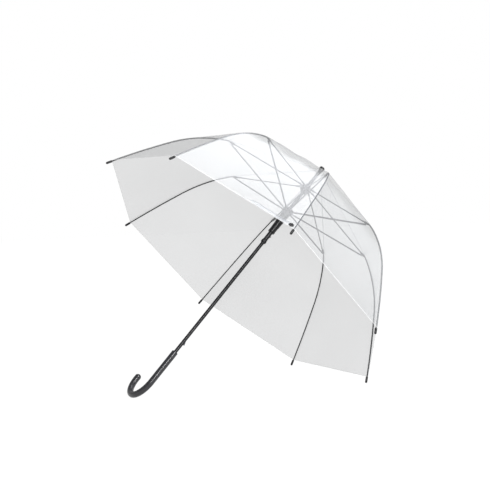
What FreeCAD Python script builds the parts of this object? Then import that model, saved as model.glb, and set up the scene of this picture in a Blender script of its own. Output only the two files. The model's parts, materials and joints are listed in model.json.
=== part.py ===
import FreeCAD, Part
import math
import os

# Clear dome umbrella, open and lying down: it rests on two rib tips and the crook of its handle.
# It is drawn about its own shaft (Z towards the top, lengths in mm), then laid down at the end.

# Driving dimensions
RIB_COUNT = 8
RIB_STEP = 360.0 / RIB_COUNT
FIRST_RIB = 67.5            # azimuth of rib 1; the others follow clockwise
TIP_RADIUS = 450.0          # rib end, measured from the shaft; the rib ends lie in the plane z = 0
PIVOT_RADIUS = 13.5         # ring wires that the ribs and the stretchers hang on
NOTCH_Z = 312.0             # ring wire of the fixed top notch
JOINT_RADIUS = 235.0        # rivet between rib and stretcher
JOINT_Z = 270.0
RUNNER_Z = 2 * JOINT_Z - NOTCH_Z    # ring wire of the runner: ribs and stretchers are one length

SHAFT_RADIUS = 4.75
SHAFT_BORE_RADIUS = 4.15
SHAFT_TOP_Z = 393.0
SHAFT_BOTTOM_Z = -345.0

ROD_RADIUS = 1.5            # fibreglass rib
ROD_OFFSET = 4.5            # rib rod above the line through its two pivots
KNUCKLE_DISTANCE = 12.0     # from the rivet to where the rib starts to bend
BEND_RADIUS = 360.0         # second bending point of the rib
BEND_Z = 162.0
MID_SAGITTA = 9.7
END_SAGITTA = 2.0

TAB_THICKNESS = 1.6
SLOT_WIDTH = 2.0
SLOT_INNER_RADIUS = 10.5
HUB_RADIUS = 15.4
WIRE_RADIUS = 0.6
WIRE_HOLE_RADIUS = 0.7
RIVET_RADIUS = 0.7
RIVET_HOLE_RADIUS = 0.78

CRIMP_RADIUS = 2.2          # ferrule crimped on the rib's inner end
CRIMP_START = 4.2           # along the rib, from the ring wire
ROD_START = 10.0
CRIMP_END = 16.0
CLIP_RADIUS = 2.6
CLIP_HALF_LENGTH = 7.0
LUG_RADIUS = 1.6
RIVET_HEAD_RADIUS = 1.2
RIVET_HALF_LENGTH = 2.3
CHANNEL_HALF_WIDTH = 1.7
CHANNEL_INSIDE = 1.1        # half the width between its walls
CHANNEL_HALF_HEIGHT = 1.4
CHANNEL_START = 7.0
GROOVE_START = 12.0
GROOVE_FLOOR = -0.8

HUB_HALF_HEIGHT = 6.0
NECK_RADIUS = 8.0
NOTCH_NECK_LOW = 13.0       # below the notch's ring wire
NOTCH_NECK_HIGH = 15.0

SLEEVE_RADIUS = 6.0
SLEEVE_BORE_RADIUS = 4.85
SLEEVE_BOTTOM_Z = 110.5
COLLAR_RADIUS = 7.5
COLLAR_LENGTH = 7.0
BEAD_RADIUS = 1.0
BEAD_HEIGHT = 10.0          # above the sleeve's bottom
WINDOW_LOW = -1.8           # the top catch's window, from the catch's pivot
WINDOW_HIGH = 14.6
WINDOW_HALF_WIDTH = 1.3
RUNNER_BOTTOM_RADIUS = 8.8
RUNNER_CROWN_RADIUS = 12.0  # where its tapered grip meets the slotted crown
RUNNER_BODY_BOTTOM_Z = 148.0
RUNNER_LIP_RADIUS = 9.5
RUNNER_LIP_LENGTH = 5.0
RUNNER_TOP = 9.0            # above the runner's ring wire

HANDLE_RADIUS = 8.25
HANDLE_TOP_Z = -274.5
CROOK_START_Z = -373.0
CROOK_RADIUS = 47.0
CROOK_SWEEP = 186.0
CROOK_AZIMUTH = 355.0

FILM_GAP = 2.2              # from the rib's centre line to the film
FILM_THICKNESS = 0.6
FILM_TOP_Z = 380.4
APEX_RADIUS = 13.0
RIM_TRIM = 11.6             # the film stops this far above the rib's end

CATCH_AZIMUTH = 250.0
CATCH_THICKNESS = 2.0
# Each catch is a wedge (radius, distance from its pivot towards the steep face)
CATCH_OUTLINE = [(1.6, -1.4), (4.1, 0.2), (8.1, 12.6), (7.8, 13.6), (1.0, 13.6)]
CATCH_PIVOT_RADIUS = 2.8
CATCH_PIN_RADIUS = 0.6
CATCH_PIN_HALF_LENGTH = 2.0
CATCH_SLOT_ENDS = (-2.4, 14.6)
TOP_CATCH_Z = 124.6         # pivot end; the steep face points up and stops the runner from falling
BOTTOM_CATCH_Z = -233.2     # pivot end; the steep face points down and holds the runner shut

CAP_RADIUS = 3.1
CAP_LENGTH = 17.0
CAP_PAST_END = 6.0
CAP_EYE_RADIUS = 1.0
CAP_EYE_DISTANCE = 0.6

WASHER_RADIUS = 12.4
WASHER_CONE = 2.0
BOSS_RADIUS = 6.6
BOSS_LENGTH = 4.0
POINT_RADIUS = 7.2          # the cap on top of the canopy
POINT_LENGTH = 9.0
POINT_ROUNDING = 1.6

# Worked out
V = FreeCAD.Vector
X_AXIS = V(1, 0, 0)
Y_AXIS = V(0, 1, 0)
Z_AXIS = V(0, 0, 1)
HALF_STEP = RIB_STEP / 2
BAR_RUN = JOINT_RADIUS - PIVOT_RADIUS
BAR_DROP = NOTCH_Z - JOINT_Z
BAR_LENGTH = math.hypot(BAR_RUN, BAR_DROP)
RIB_SLOPE = math.degrees(math.atan2(BAR_DROP, BAR_RUN))
parts = {}


def rib_azimuth(k):
    return FIRST_RIB - RIB_STEP * (k - 1)


def cylinder(radius, low, high):
    return Part.makeCylinder(radius, high - low, V(0, 0, low))


def cross_pin(radius, half_width, s, h):
    """A cylinder along Y through (s, h) of a bar's frame."""
    return Part.makeCylinder(radius, 2 * half_width, V(s, -half_width, h), Y_AXIS)


def block(s_low, s_high, half_width, h_low, h_high):
    size = (s_high - s_low, 2 * half_width, h_high - h_low)
    return Part.makeBox(*size, V(s_low, -half_width, h_low))


def plate(outline, half_width):
    """A flat plate in the X-Z plane, as thick as 2 half_width along Y."""
    points = [V(x, -half_width, z) for x, z in outline]
    face = Part.Face(Part.makePolygon(points + points[:1]))
    return face.extrude(V(0, 2 * half_width, 0))


def fused(first, *others):
    return first.fuse(list(others)).removeSplitter()


def bar_frame(radius, z, slope):
    """Frame of a bar in its rib plane: X runs out along the bar, which falls by slope degrees."""
    return FreeCAD.Placement(V(radius, 0, z), FreeCAD.Rotation(Y_AXIS, slope))


def moved(shape, placement):
    result = shape.copy()
    result.Placement = placement.multiply(result.Placement)
    return result


def turned(shape, azimuth):
    return moved(shape, FreeCAD.Placement(V(0, 0, 0), FreeCAD.Rotation(Z_AXIS, azimuth)))


RIB_FRAME = bar_frame(PIVOT_RADIUS, NOTCH_Z, RIB_SLOPE)
STRETCHER_FRAME = bar_frame(PIVOT_RADIUS, RUNNER_Z, -RIB_SLOPE)
KNUCKLE = RIB_FRAME.multVec(V(BAR_LENGTH + KNUCKLE_DISTANCE, 0, ROD_OFFSET))
BEND = V(BEND_RADIUS, 0, BEND_Z)
RIB_END = V(TIP_RADIUS, 0, 0)


class Bow:
    """A shallow arc in the rib plane from start to end that bulges away from the shaft."""

    def __init__(self, start, end, sagitta):
        chord = end - start
        half = chord.Length / 2
        self.start = start
        self.radius = (half * half + sagitta * sagitta) / (2 * sagitta)
        outward = V(-chord.z, 0, chord.x).normalize()
        self.centre = start + chord * 0.5 - outward * (self.radius - sagitta)
        self.turn = 2 * math.degrees(math.asin(half / self.radius))
        self.length = math.radians(self.turn) * self.radius

    def point(self, distance, offset=0.0):
        """The point this far along the arc, moved outward by offset."""
        spin = FreeCAD.Rotation(Y_AXIS, math.degrees(distance / self.radius))
        arm = spin.multVec(self.start - self.centre)
        return self.centre + arm * ((self.radius + offset) / self.radius)

    def slope(self, distance):
        """Degrees below the horizontal of the arc's direction."""
        arm = self.point(distance) - self.centre
        return math.degrees(math.atan2(arm.x, arm.z))

    def rod(self, low, high):
        start = self.point(low)
        spin = FreeCAD.Rotation(Y_AXIS, self.slope(low))
        circle = Part.Circle(start, spin.multVec(X_AXIS), ROD_RADIUS)
        face = Part.Face(Part.Wire(circle.toShape()))
        return face.revolve(self.centre, Y_AXIS, math.degrees((high - low) / self.radius))


MID_BOW = Bow(KNUCKLE, BEND, MID_SAGITTA)
END_BOW = Bow(BEND, RIB_END, END_SAGITTA)
KNUCKLE_GAP = ROD_RADIUS + 0.1
SOCKET_DEPTH = 7.0


def rod_along(radius, low, high):
    """A round bar on the rod's line, between two distances from the ring wire."""
    return Part.makeCylinder(radius, high - low, V(low, 0, ROD_OFFSET), X_AXIS)


def rib_inner():
    """Rod from the notch to the bending point, with a crimped eye on the ring wire."""
    eye = cross_pin(2.4, TAB_THICKNESS / 2, 0, 0)
    outline = [(-2.2, 0.9), (4.5, 6.2), (14, 6.2), (14, 2.9), (6, 2.9), (2.2, -0.9)]
    neck = plate(outline, TAB_THICKNESS / 2)
    crimp = rod_along(CRIMP_RADIUS, CRIMP_START, CRIMP_END)
    rod = rod_along(ROD_RADIUS, ROD_START, BAR_LENGTH + KNUCKLE_DISTANCE - KNUCKLE_GAP)
    body = fused(eye, neck, crimp, rod)
    return moved(body.cut(cross_pin(WIRE_HOLE_RADIUS, 3, 0, 0)), RIB_FRAME)


def rib_clip():
    """Moulded sleeve on the rod, with the lug and rivet that carry the stretcher."""
    s = BAR_LENGTH
    sleeve = rod_along(CLIP_RADIUS, s - CLIP_HALF_LENGTH, s + CLIP_HALF_LENGTH)
    lug = block(s - LUG_RADIUS, s + LUG_RADIUS, TAB_THICKNESS / 2, 0, ROD_OFFSET)
    toe = cross_pin(LUG_RADIUS, TAB_THICKNESS / 2, s, 0)
    rivet = cross_pin(RIVET_RADIUS, RIVET_HALF_LENGTH, s, 0)
    gap = cross_pin(RIVET_HEAD_RADIUS + 0.1, CHANNEL_HALF_WIDTH + 0.15, s, 0)
    heads = cross_pin(RIVET_HEAD_RADIUS, RIVET_HALF_LENGTH, s, 0).cut(gap)
    rod = rod_along(ROD_RADIUS, s - 10, s + 10)
    return moved(fused(sleeve, lug, toe, rivet, heads).cut(rod), RIB_FRAME)


def rib_mid():
    knuckle = Part.makeSphere(ROD_RADIUS, KNUCKLE)
    return fused(knuckle, MID_BOW.rod(0, MID_BOW.length - KNUCKLE_GAP))


def rib_end():
    knuckle = Part.makeSphere(ROD_RADIUS, BEND)
    stop = CAP_LENGTH - CAP_PAST_END - SOCKET_DEPTH + 0.5
    return fused(knuckle, END_BOW.rod(0, END_BOW.length - stop))


def rib_tip():
    """Moulded cap on the rib's end, with the eye that the film's corner is sewn through."""
    mouth = CAP_PAST_END - CAP_LENGTH
    nose = CAP_PAST_END - CAP_RADIUS
    barrel = Part.makeCylinder(CAP_RADIUS, nose - mouth, V(mouth, 0, 0), X_AXIS)
    barrel = barrel.makeChamfer(0.6, [e for e in barrel.Edges if e.BoundBox.XMax < mouth + 0.1])
    body = fused(barrel, Part.makeSphere(CAP_RADIUS, V(nose, 0, 0)))
    socket = Part.makeCylinder(ROD_RADIUS + 0.06, SOCKET_DEPTH, V(mouth, 0, 0), X_AXIS)
    eye = cross_pin(CAP_EYE_RADIUS, CAP_RADIUS + 1, CAP_EYE_DISTANCE, 0)
    frame = bar_frame(TIP_RADIUS, 0, END_BOW.slope(END_BOW.length))
    return moved(body.cut(socket).cut(eye), frame)


def stretcher():
    """Steel channel from the runner to the rib's rivet: an eye at one end, a fork at the other."""
    s = BAR_LENGTH
    eye = cross_pin(2.2, TAB_THICKNESS / 2, 0, 0)
    tab = block(0, GROOVE_START, TAB_THICKNESS / 2, -1.3, 1.3)
    channel = block(CHANNEL_START, s, CHANNEL_HALF_WIDTH, -CHANNEL_HALF_HEIGHT, CHANNEL_HALF_HEIGHT)
    groove = block(GROOVE_START, s + 3, CHANNEL_INSIDE, GROOVE_FLOOR, CHANNEL_HALF_HEIGHT + 1)
    fork = block(s - 3, s + 3, CHANNEL_INSIDE, -3, 3)
    ears = cross_pin(LUG_RADIUS, CHANNEL_HALF_WIDTH, s, 0)
    ears = ears.cut(cross_pin(2, CHANNEL_INSIDE, s, 0))
    body = fused(channel.cut(groove).cut(fork), eye, tab, ears)
    holes = [cross_pin(WIRE_HOLE_RADIUS, 3, 0, 0), cross_pin(RIVET_HOLE_RADIUS, 3, s, 0)]
    return moved(body.cut(holes), STRETCHER_FRAME)


def slotted_hub(ring_z, low, high):
    """Disc with a radial slot for each rib and a ring wire through its walls."""
    disc = cylinder(HUB_RADIUS, low, high)
    disc = disc.makeChamfer(0.8, [e for e in disc.Edges if len(e.Vertexes) == 1])
    slot = block(SLOT_INNER_RADIUS, HUB_RADIUS + 5, SLOT_WIDTH / 2, low - 1, high + 1)
    disc = disc.cut([turned(slot, rib_azimuth(k)) for k in range(1, RIB_COUNT + 1)])
    wire = Part.makeTorus(PIVOT_RADIUS, WIRE_RADIUS, V(0, 0, ring_z))
    return fused(disc, wire)


def notch():
    hub = slotted_hub(NOTCH_Z, NOTCH_Z - HUB_HALF_HEIGHT, NOTCH_Z + HUB_HALF_HEIGHT)
    neck = cylinder(NECK_RADIUS, NOTCH_Z - NOTCH_NECK_LOW, NOTCH_Z + NOTCH_NECK_HIGH)
    return fused(hub, neck).cut(cylinder(SHAFT_RADIUS, NOTCH_Z - 20, NOTCH_Z + 20))


def runner_body():
    """Moulded runner: slotted crown on a tapered grip with a lip, pressed on the metal sleeve."""
    crown_low = RUNNER_Z - HUB_HALF_HEIGHT
    crown = slotted_hub(RUNNER_Z, crown_low, RUNNER_Z + HUB_HALF_HEIGHT - 0.5)
    neck = cylinder(NECK_RADIUS, crown_low, RUNNER_Z + RUNNER_TOP)
    low = V(0, 0, RUNNER_BODY_BOTTOM_Z)
    grip_length = crown_low - RUNNER_BODY_BOTTOM_Z
    grip = Part.makeCone(RUNNER_BOTTOM_RADIUS, RUNNER_CROWN_RADIUS, grip_length, low)
    lip_top = RUNNER_BODY_BOTTOM_Z + RUNNER_LIP_LENGTH
    lip = cylinder(RUNNER_LIP_RADIUS, RUNNER_BODY_BOTTOM_Z, lip_top)
    lip = lip.makeFillet(0.8, [e for e in lip.Edges if len(e.Vertexes) == 1])
    body = fused(crown, neck, grip, lip)
    return body.cut(cylinder(SLEEVE_RADIUS, RUNNER_BODY_BOTTOM_Z - 5, RUNNER_Z + 20))


def runner_sleeve():
    """Metal sleeve that slides on the shaft, with a rolled collar and the catch's window."""
    tube = cylinder(SLEEVE_RADIUS, SLEEVE_BOTTOM_Z, RUNNER_Z + RUNNER_TOP)
    collar = cylinder(COLLAR_RADIUS, SLEEVE_BOTTOM_Z, SLEEVE_BOTTOM_Z + COLLAR_LENGTH)
    collar = collar.makeFillet(1.2, [e for e in collar.Edges if len(e.Vertexes) == 1])
    bead = Part.makeTorus(SLEEVE_RADIUS - 0.2, BEAD_RADIUS, V(0, 0, SLEEVE_BOTTOM_Z + BEAD_HEIGHT))
    body = fused(tube, collar, bead)
    body = body.cut(cylinder(SLEEVE_BORE_RADIUS, SLEEVE_BOTTOM_Z - 5, RUNNER_Z + 20))
    ends = (TOP_CATCH_Z + WINDOW_LOW, TOP_CATCH_Z + WINDOW_HIGH)
    window = block(3, 12, WINDOW_HALF_WIDTH, *ends)
    return body.cut(turned(window, CATCH_AZIMUTH))


def catch(pivot_z, direction):
    outline = [(r, pivot_z + direction * s) for r, s in CATCH_OUTLINE]
    wedge = plate(outline, CATCH_THICKNESS / 2)
    pin = cross_pin(CATCH_PIN_RADIUS, CATCH_PIN_HALF_LENGTH, CATCH_PIVOT_RADIUS, pivot_z)
    return turned(fused(wedge, pin), CATCH_AZIMUTH)


def catch_slot(pivot_z, direction):
    ends = sorted([pivot_z + direction * s for s in CATCH_SLOT_ENDS])
    return turned(block(1, 8, CATCH_THICKNESS / 2 + 0.2, *ends), CATCH_AZIMUTH)


def shaft():
    tube = cylinder(SHAFT_RADIUS, SHAFT_BOTTOM_Z, SHAFT_TOP_Z)
    tube = tube.cut(cylinder(SHAFT_BORE_RADIUS, SHAFT_BOTTOM_Z - 5, SHAFT_TOP_Z + 5))
    return tube.cut([catch_slot(TOP_CATCH_Z, 1), catch_slot(BOTTOM_CATCH_Z, -1)])


WASHER_LOW = FILM_TOP_Z + FILM_THICKNESS + 0.2
POINT_LOW = WASHER_LOW + WASHER_CONE + BOSS_LENGTH


def ferrule_cap():
    """Short cap on the shaft's end, above the washer's boss."""
    top = POINT_LOW + POINT_LENGTH
    head = cylinder(POINT_RADIUS, POINT_LOW, top)
    head = head.makeFillet(POINT_ROUNDING, [e for e in head.Edges if e.BoundBox.ZMin > top - 1])
    return head.cut(cylinder(SHAFT_RADIUS, POINT_LOW - 5, SHAFT_TOP_Z))


def apex_washer():
    """Clear washer that holds the film down, with a boss up to the cap."""
    cone = Part.makeCone(WASHER_RADIUS, BOSS_RADIUS, WASHER_CONE, V(0, 0, WASHER_LOW))
    boss = cylinder(BOSS_RADIUS, WASHER_LOW, POINT_LOW)
    return fused(cone, boss).cut(cylinder(SHAFT_RADIUS, WASHER_LOW - 5, POINT_LOW + 5))


def handle():
    """Crook: a straight grip on the shaft, then a half turn with a rounded end."""
    grip = cylinder(HANDLE_RADIUS, CROOK_START_Z, HANDLE_TOP_Z)
    grip = grip.makeChamfer(1.0, [e for e in grip.Edges if e.BoundBox.ZMin > HANDLE_TOP_Z - 1])
    start = V(0, 0, CROOK_START_Z)
    centre = V(CROOK_RADIUS, 0, CROOK_START_Z)
    face = Part.Face(Part.Wire(Part.Circle(start, Z_AXIS, HANDLE_RADIUS).toShape()))
    bend = face.revolve(centre, V(0, -1, 0), CROOK_SWEEP)
    spin = FreeCAD.Rotation(V(0, -1, 0), CROOK_SWEEP)
    end = Part.makeSphere(HANDLE_RADIUS, centre + spin.multVec(start - centre))
    body = fused(grip, bend, end).cut(cylinder(SHAFT_RADIUS, SHAFT_BOTTOM_Z, HANDLE_TOP_Z + 5))
    return turned(body, CROOK_AZIMUTH)


def film_outline(offset):
    """Outline of one film surface in the rib plane: (points of the top, then of each bow)."""
    rim = END_BOW.length - RIM_TRIM
    lift = offset - FILM_GAP
    top = [V(SHAFT_RADIUS + 0.4, 0, FILM_TOP_Z + lift), V(APEX_RADIUS, 0, FILM_TOP_Z + lift)]
    mid = [MID_BOW.point(d, offset) for d in (0, MID_BOW.length / 2, MID_BOW.length)]
    end = [END_BOW.point(d, offset) for d in (0, rim / 2, rim)]
    end[0] = mid[2]
    return top, mid, end


def gore():
    """One flat-across panel between two ribs, drawn about its own middle."""
    narrow = math.cos(math.radians(HALF_STEP))

    def flat(points):
        return [V(p.x * narrow, 0, p.z) for p in points]

    in_top, in_mid, in_end = map(flat, film_outline(FILM_GAP))
    out_top, out_mid, out_end = map(flat, film_outline(FILM_GAP + FILM_THICKNESS))
    edges = [
        Part.LineSegment(*in_top).toShape(),
        Part.LineSegment(in_top[1], in_mid[0]).toShape(),
        Part.Arc(*in_mid).toShape(),
        Part.Arc(*in_end).toShape(),
        Part.LineSegment(in_end[2], out_end[2]).toShape(),
        Part.Arc(*out_end).toShape(),
        Part.Arc(*out_mid).toShape(),
        Part.LineSegment(out_mid[0], out_top[1]).toShape(),
        Part.LineSegment(*out_top).toShape(),
        Part.LineSegment(out_top[0], in_top[0]).toShape(),
    ]
    section = Part.Face(Part.Wire(Part.__sortEdges__(edges)))
    section.translate(V(0, -TIP_RADIUS, 0))
    slab = section.extrude(V(0, 2 * TIP_RADIUS, 0))
    reach = 2 * TIP_RADIUS
    side = reach * math.tan(math.radians(HALF_STEP))
    corners = [V(0, 0, -50), V(reach, -side, -50), V(reach, side, -50)]
    wedge = Part.Face(Part.makePolygon(corners + corners[:1])).extrude(V(0, 0, 2 * TIP_RADIUS))
    return slab.common(wedge)


def canopy():
    panel = gore()
    middles = [rib_azimuth(k) - HALF_STEP for k in range(1, RIB_COUNT + 1)]
    return fused(*[turned(panel, azimuth) for azimuth in middles])


# The closing strap lies on the panel between ribs 7 and 8, with its snap beside tip 7
STRAP_AZIMUTH = rib_azimuth(7) - HALF_STEP
STRAP_HEIGHT = 18.0         # above the rib's end, along the panel
STRAP_WIDTH = 12.0
STRAP_LENGTH = 120.0
STRAP_THICKNESS = 0.5
STRAP_GAP = 0.3
SNAP_SIDE = 159.0           # from the panel's middle line
SNAP_RADIUS = 6.0
SNAP_FLANGE = 1.4
SNAP_DOME_RADIUS = 4.6


def strap_frame():
    narrow = math.cos(math.radians(HALF_STEP))
    distance = END_BOW.length - STRAP_HEIGHT
    point = END_BOW.point(distance, FILM_GAP + FILM_THICKNESS)
    slope = math.radians(END_BOW.slope(distance))
    panel_slope = math.degrees(math.atan2(math.sin(slope), math.cos(slope) * narrow))
    return bar_frame(point.x * narrow, point.z, panel_slope)


def closure_strap():
    corner = V(-STRAP_WIDTH / 2, SNAP_SIDE + STRAP_WIDTH / 2 - STRAP_LENGTH, STRAP_GAP)
    strip = Part.makeBox(STRAP_WIDTH, STRAP_LENGTH, STRAP_THICKNESS, corner)
    return turned(moved(strip, strap_frame()), STRAP_AZIMUTH)


def strap_snap():
    low = STRAP_GAP + STRAP_THICKNESS
    base = Part.makeCylinder(SNAP_RADIUS, SNAP_FLANGE, V(0, SNAP_SIDE, low))
    dome = Part.makeCylinder(SNAP_DOME_RADIUS, SNAP_FLANGE, V(0, SNAP_SIDE, low + SNAP_FLANGE))
    top = low + 2 * SNAP_FLANGE
    dome = dome.makeFillet(0.6, [e for e in dome.Edges if e.BoundBox.ZMin > top - 0.1])
    return turned(moved(fused(base, dome), strap_frame()), STRAP_AZIMUTH)


def lying_angle():
    """Degrees between shaft and floor when two rib tips and the crook touch it."""
    tip_frame = bar_frame(TIP_RADIUS, 0, END_BOW.slope(END_BOW.length))
    nose = tip_frame.multVec(V(CAP_PAST_END - CAP_RADIUS, 0, 0))
    lean = math.sin(math.radians(CROOK_AZIMUTH))
    low = 30.0
    high = 60.0
    for _ in range(60):
        angle = (low + high) / 2
        c = math.cos(math.radians(angle))
        s = math.sin(math.radians(angle))
        tip = -nose.x * math.cos(math.radians(HALF_STEP)) * c + nose.z * s - CAP_RADIUS
        reach = lean * c - math.hypot(lean * c, s)
        crook = CROOK_START_Z * s + CROOK_RADIUS * reach - HANDLE_RADIUS
        if tip < crook:
            low = angle
        else:
            high = angle
    return angle


def build():
    parts["shaft"] = shaft()
    parts["notch"] = notch()
    parts["ferrule_cap"] = ferrule_cap()
    parts["apex_washer"] = apex_washer()
    parts["handle"] = handle()
    parts["top_catch"] = catch(TOP_CATCH_Z, 1)
    parts["bottom_catch"] = catch(BOTTOM_CATCH_Z, -1)
    parts["runner_body"] = runner_body()
    parts["runner_sleeve"] = runner_sleeve()
    parts["canopy"] = canopy()
    parts["closure_strap"] = closure_strap()
    parts["strap_snap"] = strap_snap()
    bar_parts = {
        "rib_{}_inner": rib_inner(),
        "rib_{}_clip": rib_clip(),
        "rib_{}_mid": rib_mid(),
        "rib_{}_end": rib_end(),
        "rib_{}_tip": rib_tip(),
        "stretcher_{}": stretcher(),
    }
    for k in range(1, RIB_COUNT + 1):
        for name, shape in bar_parts.items():
            parts[name.format(k)] = turned(shape, rib_azimuth(k))


def lay_down():
    """Turn the shaft down onto the floor and put the origin under the middle of the whole."""
    tilt = FreeCAD.Rotation(X_AXIS, lying_angle() - 90)
    spin = tilt.multiply(FreeCAD.Rotation(Z_AXIS, 180))
    laid = {n: moved(s, FreeCAD.Placement(V(0, 0, 0), spin)) for n, s in parts.items()}
    box = FreeCAD.BoundBox()
    for shape in laid.values():
        box.add(shape.optimalBoundingBox(True, False))
    middle = V((box.XMin + box.XMax) / 2, (box.YMin + box.YMax) / 2, box.ZMin)
    return laid, middle


def main():
    build()
    laid, middle = lay_down()
    print("lying angle", round(lying_angle(), 4), "shift", middle)
    os.makedirs("parts", exist_ok=True)
    for name, shape in laid.items():
        shape.translate(middle * -1)
        shape.exportStep("parts/" + name + ".step")
        solids = len(shape.Solids)
        print(name, "solids", solids, "valid", shape.isValid(), "cm3", round(shape.Volume / 1000, 3))


main()
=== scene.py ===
import bmesh
import bpy
import json
import math
import numpy as np
from mathutils import Matrix, Vector

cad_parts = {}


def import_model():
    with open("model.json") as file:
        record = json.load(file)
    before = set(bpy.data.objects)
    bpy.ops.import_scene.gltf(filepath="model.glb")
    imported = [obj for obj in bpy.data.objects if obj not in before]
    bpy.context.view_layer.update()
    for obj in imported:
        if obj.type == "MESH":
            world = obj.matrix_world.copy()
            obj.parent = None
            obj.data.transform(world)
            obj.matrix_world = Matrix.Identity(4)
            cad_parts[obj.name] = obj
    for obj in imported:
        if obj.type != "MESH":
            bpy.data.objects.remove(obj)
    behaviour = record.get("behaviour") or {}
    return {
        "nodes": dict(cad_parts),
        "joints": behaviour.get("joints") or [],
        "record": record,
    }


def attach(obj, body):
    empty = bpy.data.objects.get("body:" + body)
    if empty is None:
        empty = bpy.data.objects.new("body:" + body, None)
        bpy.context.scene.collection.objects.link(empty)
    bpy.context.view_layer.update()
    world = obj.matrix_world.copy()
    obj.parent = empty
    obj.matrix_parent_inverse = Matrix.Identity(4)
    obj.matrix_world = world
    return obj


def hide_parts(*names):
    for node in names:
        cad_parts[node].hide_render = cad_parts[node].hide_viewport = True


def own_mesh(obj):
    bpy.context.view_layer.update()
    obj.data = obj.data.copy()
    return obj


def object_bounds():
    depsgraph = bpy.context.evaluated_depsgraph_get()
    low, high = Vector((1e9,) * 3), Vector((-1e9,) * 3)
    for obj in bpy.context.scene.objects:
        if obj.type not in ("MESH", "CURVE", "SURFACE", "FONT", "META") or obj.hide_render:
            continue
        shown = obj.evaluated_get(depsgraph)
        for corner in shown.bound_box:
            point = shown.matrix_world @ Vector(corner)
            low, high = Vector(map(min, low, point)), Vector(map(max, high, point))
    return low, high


# Looks of the clear dome umbrella: film canopy, black frame, dark crook, white studio.
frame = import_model()
cad_low, cad_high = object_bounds()

# Sizes of the canopy, in metres. Z of the umbrella's own frame runs up its shaft; z = 0 is the
# plane of the rib ends.
MM = 0.001
RIB_COUNT = 8
RIB_STEP = 360 / RIB_COUNT
HALF_STEP = math.radians(RIB_STEP / 2)
FIRST_RIB = 67.5                # azimuth of rib 1, in degrees
TIP_RADIUS = 450 * MM
NOTCH_Z = 312 * MM              # the ribs' hinges on the top notch
APEX_RADIUS = 12.4 * MM         # the edge of the washer, where the film ends
APEX_Z = 380.9 * MM
FILM_LIFT = 2.5 * MM            # the film above the middle line of a rib
MID_SAGITTA = 9.7 * MM          # how far a rib's middle length bows out
END_SAGITTA = 2 * MM            # and its outer length
RIM_TRIM = 11.6 * MM            # the film stops this far above the rib's end
SEAM_HALF_WIDTH = 1.2 * MM
SEAM_LIFT = 0.25 * MM
HEM_WIDTH = 2 * MM

# Cells of the canopy's meshes
TOP_ROWS = 40
MID_ROWS = 30
END_ROWS = 30
SMOOTHING_PASSES = 14
STRIP_CELLS = 4
PLEAT_CELLS = 6
CROSS_CELLS = 12                # across half a panel

# How the film is cut: the strip that stays on each rib, and the pleats of each panel's top.
STRIP_HALF_WIDTH = 6.5 * MM     # film that stays on a rib's inner length
SECTORS = 6                     # pleats of one panel's top, between its two strips

# The film's small waves
SEED = 7
LONG_WAVES = 4                  # in each panel
LONG_WAVE_HEIGHT = 0.42 * MM
LONG_WAVE_END = 1.05            # above 1, they die out before the hem
LONG_WAVE_FLATNESS = 0.7        # below 1, they rise faster at their ends
GATHER_FOLDS = 5.5              # short folds across a panel's top
GATHER_HEIGHT = 0.5 * MM
GATHER_SHARE = 0.16             # share of the panel's length over which they fade
GATHER_RISE = 16                # how fast they rise from nothing at the washer
GREY_REACH = 110 * MM           # how far from the cap the film looks greyer
GREY_LEAST = 0.1                # and the share of its colour left beside the cap


# ---------------------------------------------------------------- the umbrella's own frame
joints = {j["name"]: j for j in frame["joints"]}


def anchor(name):
    return Vector(joints[name]["pos_m"])


def fold_joint(k):
    return "fold" if k == 1 else f"rib_{k}_fold"


def mean(points):
    return sum(points, Vector()) / len(points)


ribs = range(1, RIB_COUNT + 1)
notch_centre = mean([anchor(fold_joint(k)) for k in ribs])
rivet_centre = mean([anchor(f"stretcher_{k}_pivot") for k in ribs])
up = (notch_centre - rivet_centre).normalized()
first = (anchor("fold") - notch_centre).normalized()
origin = notch_centre - up * NOTCH_Z


def radial(azimuth):
    """Unit vector away from the shaft, in the shared frame; azimuth in degrees."""
    return Matrix.Rotation(math.radians(azimuth - FIRST_RIB), 3, up) @ first


def rib_azimuth(k):
    return FIRST_RIB - RIB_STEP * (k - 1)


def place(r, azimuth, z):
    return origin + radial(azimuth) * r + up * z


def in_plane(point):
    """(distance from the shaft, height) of a point of the shared frame."""
    arm = point - origin
    z = arm.dot(up)
    return np.array([(arm - up * z).length, z])


# ---------------------------------------------------------------- profile of the canopy
KNUCKLE = in_plane(anchor("rib_1_flex_inner"))
BEND = in_plane(anchor("rib_1_flex_outer"))
RIB_END = np.array([TIP_RADIUS, 0.0])


def bow(start, end, sagitta, count, trim=0.0):
    """Points of the film over one bowed length of rib."""
    chord = end - start
    half = np.hypot(*chord) / 2
    radius = (half * half + sagitta * sagitta) / (2 * sagitta)
    outward = np.array([-chord[1], chord[0]]) / (2 * half)
    centre = (start + end) / 2 - outward * (radius - sagitta)
    turn = 2 * math.asin(half / radius)
    stop = turn - trim / radius
    first_angle = math.atan2(*(start - centre)[::-1])
    angles = first_angle - np.linspace(0, stop, count)
    arms = np.stack([np.cos(angles), np.sin(angles)], 1)
    return centre + arms * (radius + FILM_LIFT)


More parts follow.
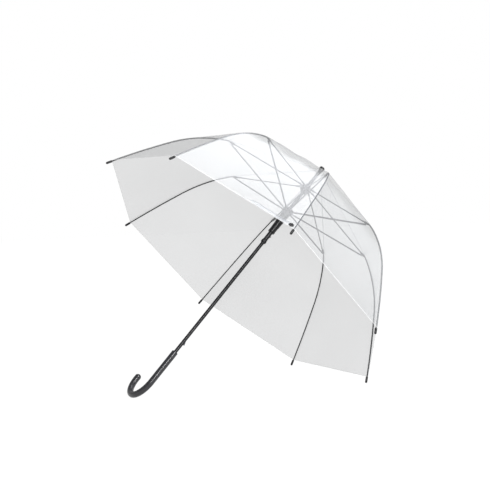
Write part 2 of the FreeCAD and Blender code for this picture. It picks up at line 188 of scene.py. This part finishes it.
mid_line = bow(KNUCKLE, BEND, MID_SAGITTA, MID_ROWS)
end_line = bow(BEND, RIB_END, END_SAGITTA, END_ROWS, RIM_TRIM)
end_line[0] = mid_line[-1]
apex = np.array([APEX_RADIUS, APEX_Z])
top_steps = np.linspace(0, 1, TOP_ROWS)[:, None]
top_line = apex + (mid_line[0] - apex) * top_steps
profile = np.concatenate([top_line, mid_line[1:], end_line[1:]])
travel = np.concatenate([[0], np.cumsum(np.hypot(*np.diff(profile, axis=0).T))])
MID_START = TOP_ROWS - 1
END_START = MID_START + MID_ROWS - 1
LAST_ROW = END_START + END_ROWS - 1


def smoothed(values, passes):
    """Rounds the small turns where the cone and the bows meet."""
    result = values.copy()
    for _ in range(passes):
        result[1:-1] = (result[:-2] + 2 * result[1:-1] + result[2:]) / 4
    return result


profile = smoothed(profile, SMOOTHING_PASSES)


# ---------------------------------------------------------------- the film's small waves
random = np.random.default_rng(SEED)


def draw_wave():
    """Waves across a panel, waves along it, and the phase."""
    return random.uniform(0.8, 2.6), random.uniform(-1.4, 1.4), random.uniform(0, 6.3)


waves = [[draw_wave() for _ in range(LONG_WAVES)] for _ in ribs]


def wave(k, v, s):
    """How far the film of panel k stands out from its straight-across shape, s down from the apex."""
    edge = 4 * v * (1 - v)
    down = s / travel[-1]
    total = 0.0
    for across, along, phase in waves[k - 1]:
        total += math.sin(2 * math.pi * (across * v + along * down) + phase)
    swell = math.sin(math.pi * min(down * LONG_WAVE_END, 1)) ** LONG_WAVE_FLATNESS
    slack = LONG_WAVE_HEIGHT * total * edge * swell
    folds = math.sin(2 * math.pi * GATHER_FOLDS * v + k)
    gather = GATHER_HEIGHT * folds * edge * math.exp(-down / GATHER_SHARE)
    return slack + gather * min(1, down * GATHER_RISE)


def film_point(k, v, row, lift=0.0):
    """A point of the panel between ribs k and k + 1; v runs from 0 at rib k to 1 at the next."""
    r, z = profile[row]
    azimuth = rib_azimuth(k)
    left = place(r, azimuth, z)
    right = place(r, azimuth - RIB_STEP, z)
    step = profile[min(row + 1, LAST_ROW)] - profile[max(row - 1, 0)]
    slope = math.atan2(-step[1], step[0])
    outward = radial(azimuth - RIB_STEP / 2) * math.sin(slope) + up * math.cos(slope)
    return left.lerp(right, v) + outward * (wave(k, v, travel[row]) + lift)


def before(k):
    return k - 1 if k > 1 else RIB_COUNT


def beside_rib(k, side, share, row, lift=0.0):
    """A point this share of a panel's width from rib k, towards the next rib (1) or back (-1)."""
    if side > 0:
        return film_point(k, share, row, lift)
    return film_point(before(k), 1 - share, row, lift)


def half_chord(row):
    return profile[row][0] * math.sin(HALF_STEP)


def strip_share(row):
    """Share of a panel's width, from its rib, that stays on the rib."""
    return min(0.5, STRIP_HALF_WIDTH / (2 * half_chord(row)))


# ---------------------------------------------------------------- mesh helpers
def grid_mesh(name, rows, material):
    """A sheet through rows of points, all rows equally long."""
    height, width = len(rows), len(rows[0])
    vertices = [p for row in rows for p in row]
    faces = []
    for i in range(height - 1):
        for j in range(width - 1):
            a = i * width + j
            faces.append((a, a + 1, a + width + 1, a + width))
    mesh = bpy.data.meshes.new(name)
    mesh.from_pydata([tuple(v) for v in vertices], [], faces)
    mesh.shade_smooth()
    mesh.materials.append(material)
    piece = bpy.data.objects.new(name, mesh)
    bpy.context.scene.collection.objects.link(piece)
    return piece


# ---------------------------------------------------------------- materials
BUMP_STRENGTH = 0.1


def new_material(name, **values):
    material = bpy.data.materials.new(name)
    material.use_nodes = True
    shader = material.node_tree.nodes["Principled BSDF"]
    for key, value in values.items():
        shader.inputs[key.replace("_", " ")].default_value = value
    return material, material.node_tree, shader


def noise(tree, scale, detail=4.0):
    """Noise over the piece; scale is in waves to the metre."""
    coordinates = tree.nodes.new("ShaderNodeTexCoord")
    texture = tree.nodes.new("ShaderNodeTexNoise")
    texture.inputs["Scale"].default_value = scale
    texture.inputs["Detail"].default_value = detail
    tree.links.new(coordinates.outputs["Object"], texture.inputs["Vector"])
    return texture


def vary_colour(tree, shader, texture, low, high):
    ramp = tree.nodes.new("ShaderNodeValToRGB")
    ramp.color_ramp.elements[0].position = 0.3
    ramp.color_ramp.elements[1].position = 0.7
    ramp.color_ramp.elements[0].color = (*low, 1)
    ramp.color_ramp.elements[1].color = (*high, 1)
    tree.links.new(texture.outputs["Fac"], ramp.inputs["Fac"])
    tree.links.new(ramp.outputs["Color"], shader.inputs["Base Color"])


def vary_roughness(tree, shader, texture, low, high):
    spread = tree.nodes.new("ShaderNodeMapRange")
    spread.inputs["To Min"].default_value = low
    spread.inputs["To Max"].default_value = high
    tree.links.new(texture.outputs["Fac"], spread.inputs["Value"])
    tree.links.new(spread.outputs["Result"], shader.inputs["Roughness"])


def bump(tree, shader, texture, distance):
    node = tree.nodes.new("ShaderNodeBump")
    node.inputs["Strength"].default_value = BUMP_STRENGTH
    node.inputs["Distance"].default_value = distance
    tree.links.new(texture.outputs["Fac"], node.inputs["Height"])
    tree.links.new(node.outputs["Normal"], shader.inputs["Normal"])


def surface(name, low, high, rough, grain, bump_depth, **values):
    """An opaque moulded or painted surface with slight variation of colour, gloss and relief."""
    material, tree, shader = new_material(name, **values)
    vary_colour(tree, shader, noise(tree, grain * 0.3), low, high)
    vary_roughness(tree, shader, noise(tree, grain), *rough)
    bump(tree, shader, noise(tree, grain * 4), bump_depth)
    return material


def film_material(name, alpha, low, high, rough, coat=1.0):
    """Clear film: its gloss has the strength that two clear surfaces have together."""
    material, tree, shader = new_material(name, Alpha=alpha, IOR=1.5, Coat_Weight=coat,
                                          Coat_Roughness=0.26, Coat_IOR=2.5)
    vary_colour(tree, shader, noise(tree, 9, 3), low, high)
    darken_near_apex(tree, shader)
    vary_roughness(tree, shader, noise(tree, 30), *rough)
    return material


def darken_near_apex(tree, shader):
    """The film is gathered and thicker round the cap, and looks greyer there."""
    coordinates = tree.nodes.new("ShaderNodeTexCoord")
    distance = tree.nodes.new("ShaderNodeVectorMath")
    distance.operation = "DISTANCE"
    distance.inputs[1].default_value = tuple(place(0, 0, APEX_Z))
    spread = tree.nodes.new("ShaderNodeMapRange")
    spread.inputs["From Min"].default_value = APEX_RADIUS
    spread.inputs["From Max"].default_value = GREY_REACH
    spread.inputs["To Min"].default_value = GREY_LEAST
    spread.inputs["To Max"].default_value = 1.0
    spread.interpolation_type = "SMOOTHSTEP"
    dim = tree.nodes.new("ShaderNodeVectorMath")
    dim.operation = "SCALE"
    colour = shader.inputs["Base Color"].links[0].from_socket
    tree.links.new(coordinates.outputs["Object"], distance.inputs[0])
    tree.links.new(distance.outputs["Value"], spread.inputs["Value"])
    tree.links.new(colour, dim.inputs[0])
    tree.links.new(spread.outputs["Result"], dim.inputs["Scale"])
    tree.links.new(dim.outputs["Vector"], shader.inputs["Base Color"])


film = film_material("clear_film", 0.43, (0.51, 0.52, 0.53), (0.58, 0.59, 0.6), (0.14, 0.22))
weld = film_material("film_weld", 0.5, (0.08, 0.09, 0.11), (0.16, 0.17, 0.19), (0.3, 0.45), coat=0.15)
hem = film_material("film_hem", 0.4, (0.93, 0.93, 0.94), (0.98, 0.98, 0.98), (0.2, 0.35), coat=0.5)
# Painted glow: the hem gives off a little light of its own, which stands in for the light that clear film
# leads to its edge
hem_painted_glow_shader = hem.node_tree.nodes["Principled BSDF"]
hem_painted_glow_shader.inputs["Emission Color"].default_value = (1, 1, 1, 1)
hem_painted_glow_shader.inputs["Emission Strength"].default_value = 0.35
band = film_material("strap_film", 0.5, (0.42, 0.44, 0.47), (0.52, 0.54, 0.57), (0.12, 0.25))
steel = surface("black_steel", (0.006, 0.006, 0.008), (0.014, 0.014, 0.017), (0.14, 0.2), 140,
                0.000004, Coat_Weight=0.8, Coat_Roughness=0.42, Specular_IOR_Level=0.1)
rod = surface("fibreglass_rod", (0.010, 0.010, 0.012), (0.020, 0.021, 0.024), (0.28, 0.42), 260,
              0.00003)
plastic = surface("black_plastic", (0.012, 0.012, 0.013), (0.022, 0.022, 0.024), (0.34, 0.5), 300,
                  0.00005)
gloss = surface("gloss_plastic", (0.004, 0.004, 0.005), (0.008, 0.008, 0.010), (0.12, 0.17), 90,
                0.000004, Coat_Weight=0.9, Coat_Roughness=0.34, Specular_IOR_Level=0.1)
grip = surface("handle_plastic", (0.020, 0.020, 0.024), (0.032, 0.032, 0.038), (0.26, 0.36), 420,
               0.00006, Coat_Weight=0.5, Coat_Roughness=0.24)
spring = surface("spring_steel", (0.05, 0.05, 0.055), (0.09, 0.09, 0.10), (0.25, 0.4), 200,
                 0.00003, Metallic=0.9)
washer = film_material("washer_plastic", 0.25, (0.7, 0.72, 0.75), (0.8, 0.82, 0.84), (0.1, 0.2))

CAD_MATERIALS = {"black_steel": steel, "fibreglass": rod, "black_plastic": plastic,
                 "gloss_black_plastic": gloss, "handle_plastic": grip, "spring_steel": spring,
                 "clear_plastic": washer, "clear_film": film}


def dress_cad_nodes():
    slots = {s["node"]: s["material_slot"] for s in frame["record"]["subparts"]}
    for name, node in frame["nodes"].items():
        node.data.materials.clear()
        node.data.materials.append(CAD_MATERIALS[slots[name]])


# ---------------------------------------------------------------- canopy pieces
def declare(area):
    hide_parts("canopy")


def flat_area(start, end, width_at):
    """Area of a cut whose width changes along the profile."""
    total = 0.0
    for row in range(start, end):
        total += (width_at(row) + width_at(row + 1)) / 2 * (travel[row + 1] - travel[row])
    return total


def tuck_to_rib(piece, k):
    """Ride on rib k's inner length."""
    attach(piece, f"rib_{k}")
    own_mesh(piece)


def gather_to_rib(piece, body):
    """Ride on a length of rib, the given body."""
    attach(piece, body)
    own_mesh(piece)


def top_strip(k):
    """Film along rib k from the apex to the bend, which stays on the rib."""
    rows = []
    for row in range(MID_START + 1):
        share = strip_share(row)
        back = [beside_rib(k, -1, share * i / STRIP_CELLS, row) for i in range(STRIP_CELLS, 0, -1)]
        ahead = [beside_rib(k, 1, share * i / STRIP_CELLS, row) for i in range(STRIP_CELLS + 1)]
        rows.append(back + ahead)
    piece = grid_mesh(f"film_top_{k}", rows, film)
    tuck_to_rib(piece, k)
    width = 2 * STRIP_HALF_WIDTH
    area = flat_area(0, MID_START, lambda row: min(width, 2 * half_chord(row)))
    declare(area)


def pleat(k, j):
    """One of the sectors of panel k's top; it rides on the root body."""
    start = next(row for row in range(MID_START) if strip_share(row) < 0.5) - 1
    rows = []
    for row in range(start, MID_START + 1):
        share = strip_share(row)
        span = (1 - 2 * share) / SECTORS
        low = share + span * j
        rows.append([film_point(k, low + span * i / PLEAT_CELLS, row) for i in range(PLEAT_CELLS + 1)])
    piece = grid_mesh(f"film_pleat_{k}_{j + 1}", rows, film)
    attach(piece, "root")
    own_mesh(piece)

    def width_at(row):
        return (1 - 2 * strip_share(row)) * 2 * half_chord(row) / SECTORS

    area = flat_area(start, MID_START, width_at)
    declare(area)


def half_panel(name, k, side, start, end, body):
    """Half of a panel beside rib k (side 1 towards the next rib, -1 towards the one before)."""
    rows = []
    for row in range(start, end + 1):
        rows.append([beside_rib(k, side, 0.5 * i / CROSS_CELLS, row) for i in range(CROSS_CELLS + 1)])
    piece = grid_mesh(name, rows, film)
    gather_to_rib(piece, body)
    declare(flat_area(start, end, half_chord))


# Across a weld: side of the rib, share of the half width, share of the lift
SEAM_SECTION = [(-1, 1, 0), (-1, 0.6, 1), (1, 0, 1.2), (1, 0.6, 1), (1, 1, 0)]


def seam(name, k, start, end):
    """Welded seam over rib k."""
    rows = []
    for row in range(start, end + 1):
        width = min(0.4, SEAM_HALF_WIDTH / (2 * half_chord(row)))
        rows.append([beside_rib(k, side, width * share, row, SEAM_LIFT * height)
                     for side, share, height in SEAM_SECTION])
    piece = grid_mesh(name, rows, weld)
    return piece


def seams(k):
    """Welds over rib k: from the apex to the bend, then down both bows."""
    tuck_to_rib(seam(f"seam_top_{k}", k, 0, MID_START), k)
    middle = seam(f"seam_mid_{k}", k, MID_START, END_START)
    gather_to_rib(middle, f"rib_{k}_mid")
    rim = seam(f"seam_rim_{k}", k, END_START, LAST_ROW)
    gather_to_rib(rim, f"rib_{k}_end")


# Round the doubled edge: share of the hem's width, height in millimetres
HEM_SECTION = [(0, 0), (0, 0.35), (0.5, 0.45), (1, 0.35), (1, 0.05)]


def hem_band(name, k, side):
    """Doubled edge of the film along the rim."""
    rows = []
    for depth, height in HEM_SECTION:
        points = []
        for i in range(CROSS_CELLS + 1):
            share = 0.5 * i / CROSS_CELLS
            edge = beside_rib(k, side, share, LAST_ROW, height * MM)
            inner = beside_rib(k, side, share, LAST_ROW - 1, height * MM)
            points.append(edge + (inner - edge).normalized() * HEM_WIDTH * depth)
        rows.append(points)
    piece = grid_mesh(name, rows, hem)
    gather_to_rib(piece, f"rib_{k}_end")


def canopy():
    for k in ribs:
        top_strip(k)
        seams(k)
        for j in range(SECTORS):
            pleat(k, j)
        for side, word in ((1, "next"), (-1, "back")):
            half_panel(f"film_mid_{k}_{word}", k, side, MID_START, END_START, f"rib_{k}_mid")
            half_panel(f"film_rim_{k}_{word}", k, side, END_START, LAST_ROW, f"rib_{k}_end")
            hem_band(f"hem_{k}_{word}", k, side)


# ---------------------------------------------------------------- closing strap and snap
STRAP_PANEL = 7
STRAP_WIDTH = 12 * MM
STRAP_LENGTH = 120 * MM
STRAP_HEIGHT = 18 * MM          # its middle above the rib's end
STRAP_LIFT = 0.7 * MM
STRAP_CELLS = 60
STRAP_ACROSS = (-1, -0.84, -0.8, -0.4, 0, 0.4, 0.8, 0.84, 1)
STRAP_WELD_START = 0.82         # the welded edges, as a share of the half width
STRAP_WELD_LIFT = 0.25 * MM
STRAP_CURL = 0.5 * MM
STRAP_CURL_TURN = 9             # radians of wave along it
STRAP_TIP_HALF_WIDTH = 0.2 * MM
SNAP_SIDE = 159 * MM            # from the panel's middle line
# The snap button's outline: radius and height, in millimetres
SNAP_PROFILE = [(0, 0.95), (1.2, 1.0), (1.7, 1.35), (2.2, 2.6), (3.2, 3.0), (4.2, 2.8), (4.7, 2.2),
                (4.9, 1.5), (5.6, 1.4), (6.0, 1.1), (6.0, 0.2), (5.6, 0.0)]


def strap_point(side, height, lift):
    """On the strap's panel: side from its middle line towards rib 7, height above the rib's end."""
    distance = travel[-1] + RIM_TRIM - height
    row = float(np.interp(distance, travel, range(LAST_ROW + 1)))
    low_row = min(int(row), LAST_ROW - 1)
    rows = []
    for near in (low_row, low_row + 1):
        rows.append(film_point(STRAP_PANEL, 0.5 - side / (2 * half_chord(near)), near, lift))
    return rows[0].lerp(rows[1], row - low_row)


def strap():
    """Film band with welded edges and rounded ends; it lies on the panel beside tip 7."""
    rows = []
    for i in range(STRAP_CELLS + 1):
        reach = STRAP_LENGTH * i / STRAP_CELLS
        inset = min(reach, STRAP_LENGTH - reach) / (STRAP_WIDTH / 2)
        half = STRAP_WIDTH / 2 * math.sqrt(1 - (1 - min(1, inset)) ** 2)
        side = SNAP_SIDE + STRAP_WIDTH / 2 - reach
        curl = STRAP_CURL * math.sin(math.pi * i / STRAP_CELLS) * math.sin(STRAP_CURL_TURN * i / STRAP_CELLS)
        points = []
        for across in STRAP_ACROSS:
            weld_lift = STRAP_WELD_LIFT if abs(across) > STRAP_WELD_START else 0.0
            height = STRAP_HEIGHT + max(half, STRAP_TIP_HALF_WIDTH) * across
            points.append(strap_point(side, height, STRAP_LIFT + max(0, curl) + weld_lift))
        rows.append(points)
    piece = grid_mesh("closure_band", rows, band)
    gather_to_rib(piece, "rib_7_end")
    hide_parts("closure_strap")


def turned_shape(name, outline, centre, axis, material, segments=48):
    """A closed shape of revolution; outline holds (radius, height) along the axis."""
    helper = axis.orthogonal().normalized()
    other = axis.cross(helper)
    mesh = bmesh.new()
    rings = []
    for radius, height in outline:
        middle = centre + axis * height
        if radius == 0:
            rings.append([mesh.verts.new(middle)])
            continue
        ring = []
        for i in range(segments):
            angle = 2 * math.pi * i / segments
            arm = helper * math.cos(angle) + other * math.sin(angle)
            ring.append(mesh.verts.new(middle + arm * radius))
        rings.append(ring)
    for a, b in zip(rings, rings[1:]):
        for i in range(segments):
            j = (i + 1) % segments
            corners = [a[i % len(a)], a[j % len(a)], b[j % len(b)], b[i % len(b)]]
            mesh.faces.new(list(dict.fromkeys(corners)))
    if len(rings[-1]) > 1:
        mesh.faces.new(rings[-1])
    bmesh.ops.recalc_face_normals(mesh, faces=mesh.faces[:])
    data = bpy.data.meshes.new(name)
    mesh.to_mesh(data)
    mesh.free()
    data.shade_smooth()
    data.materials.append(material)
    piece = bpy.data.objects.new(name, data)
    bpy.context.scene.collection.objects.link(piece)
    return piece


def snap():
    centre = strap_point(SNAP_SIDE, STRAP_HEIGHT, STRAP_LIFT + 0.1 * MM)
    above = strap_point(SNAP_SIDE, STRAP_HEIGHT, STRAP_LIFT + 5 * MM)
    outline = [(r * MM, h * MM) for r, h in SNAP_PROFILE]
    piece = turned_shape("snap_button", outline, centre, (above - centre).normalized(), plastic)
    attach(piece, "rib_7_end")
    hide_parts("strap_snap")


# ---------------------------------------------------------------- studio
# The photograph's viewpoint, in the umbrella's own frame
CAMERA_PLACE = (-2.2937, 1.1759, -0.8799)
CAMERA_RIGHT = (-0.5411, -0.5998, 0.5895)
CAMERA_AIM = (0.8401, -0.4171, 0.3467)
CAMERA_LENS = 75.35


def direction(x, y, z):
    """A direction given in the umbrella's own frame, in the shared frame."""
    return radial(0) * x + radial(90) * y + up * z


def camera():
    data = bpy.data.cameras.new("camera")
    data.lens = CAMERA_LENS
    data.clip_end = 50
    back = -direction(*CAMERA_AIM).normalized()
    over = back.cross(direction(*CAMERA_RIGHT)).normalized()
    turn = Matrix([over.cross(back), over, back]).transposed()
    piece = bpy.data.objects.new("camera", data)
    piece.matrix_world = Matrix.Translation(origin + direction(*CAMERA_PLACE)) @ turn.to_4x4()
    bpy.context.scene.collection.objects.link(piece)
    bpy.context.scene.camera = piece


def area_light(name, towards, distance, size, power, colour=(1, 1, 1)):
    """A softbox in this direction from the umbrella's middle; its long side follows the shaft."""
    data = bpy.data.lights.new(name, "AREA")
    data.shape = "RECTANGLE"
    data.size, data.size_y = size
    data.energy = power
    data.color = colour
    back = Vector(towards).normalized()
    side = up.cross(back).normalized()
    turn = Matrix([side, back.cross(side), back]).transposed()
    piece = bpy.data.objects.new(name, data)
    middle = (cad_low + cad_high) / 2
    piece.matrix_world = Matrix.Translation(middle + back * distance) @ turn.to_4x4()
    bpy.context.scene.collection.objects.link(piece)


def feed(tree, value, socket):
    """Set a socket to a number, or link it to another node's output."""
    if isinstance(value, float):
        socket.default_value = value
    else:
        tree.links.new(value, socket)


def brightness(tree, seen, mirrored, lit):
    """How bright the studio is to the camera, in reflections, and as light on the object."""
    path = tree.nodes.new("ShaderNodeLightPath")
    value = lit
    for ray, level in (("Is Glossy Ray", mirrored), ("Is Camera Ray", seen)):
        spread = tree.nodes.new("ShaderNodeMapRange")
        feed(tree, value, spread.inputs["To Min"])
        feed(tree, level, spread.inputs["To Max"])
        tree.links.new(path.outputs[ray], spread.inputs["Value"])
        value = spread.outputs["Result"]
    return value


def horizon_glow(tree, low, high):
    """Bright near the horizon, dim overhead."""
    coordinates = tree.nodes.new("ShaderNodeTexCoord")
    parts = tree.nodes.new("ShaderNodeSeparateXYZ")
    spread = tree.nodes.new("ShaderNodeMapRange")
    spread.interpolation_type = "SMOOTHSTEP"
    spread.inputs["From Max"].default_value = 0.75
    spread.inputs["To Min"].default_value = low
    spread.inputs["To Max"].default_value = high
    tree.links.new(coordinates.outputs["Generated"], parts.inputs["Vector"])
    tree.links.new(parts.outputs["Z"], spread.inputs["Value"])
    return spread.outputs["Result"]


def studio():
    world = bpy.data.worlds.new("studio")
    world.use_nodes = True
    tree = world.node_tree
    background = tree.nodes["Background"]
    background.inputs["Color"].default_value = (1, 1, 1, 1)
    glow = horizon_glow(tree, 0.45, 0.2)
    tree.links.new(brightness(tree, 1.0, glow, 0.55), background.inputs["Strength"])
    bpy.context.scene.world = world
    bpy.context.scene.view_settings.view_transform = "Standard"
    material, tree, shader = new_material("floor", Roughness=0.9)
    shader.inputs["Base Color"].default_value = (0.06, 0.06, 0.06, 1)
    shader.inputs["Specular IOR Level"].default_value = 0.0
    shader.inputs["Emission Color"].default_value = (1, 1, 1, 1)
    tree.links.new(brightness(tree, 0.98, 0.7, 0.4), shader.inputs["Emission Strength"])
    bpy.ops.mesh.primitive_plane_add(size=16, location=(0, 0, -0.0002))
    floor = bpy.context.object
    floor.name = "floor"
    floor.data.materials.append(material)
    area_light("overhead", (-0.14, 0.46, 0.88), 2.2, (1.5, 1.5), 18, (0.93, 0.95, 1.0))
    area_light("far_side", (0.1, 0.96, 0.26), 2.4, (1.2, 1.0), 3, (0.91, 0.95, 1.0))
    area_light("key", (0.83, -0.03, 0.56), 2.4, (0.3, 2.2), 60)


camera()
dress_cad_nodes()
canopy()
strap()
snap()
studio()
